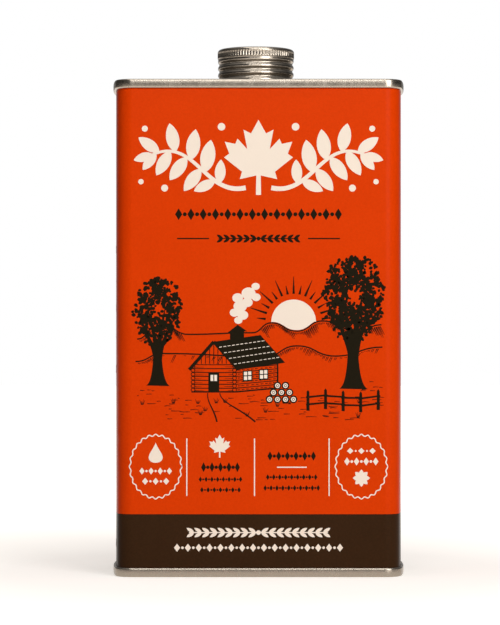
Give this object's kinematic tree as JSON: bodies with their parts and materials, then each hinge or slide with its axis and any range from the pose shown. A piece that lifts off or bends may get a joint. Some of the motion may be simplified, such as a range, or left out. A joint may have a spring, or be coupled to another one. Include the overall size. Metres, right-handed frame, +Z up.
{
  "type": "maple syrup tin",
  "caption": "Shut oblong syrup tin with seamed ends, bowed narrow sides and a short knurled screw cap; printed front over a dark foot band.",
  "frame": {"origin": "middle of the foot, on the surface the tin stands on", "axes": "+Z up along the height, +X along the wide face, -Y out of the front face"},
  "size_m": [0.0926, 0.0428, 0.1672],
  "materials": {
    "painted_body": "satin orange enamel with dark brown foot band and printed cream and dark marks",
    "tinplate": "satin tinplate with a warm tone",
    "cap_metal": "satin rolled metal"
  },
  "bodies": {
    "root": {"can_body": "painted_body", "bottom_end": "tinplate", "top_end": "tinplate", "neck": "tinplate", "screw_cap": "cap_metal"}
  },
  "joints": []
}
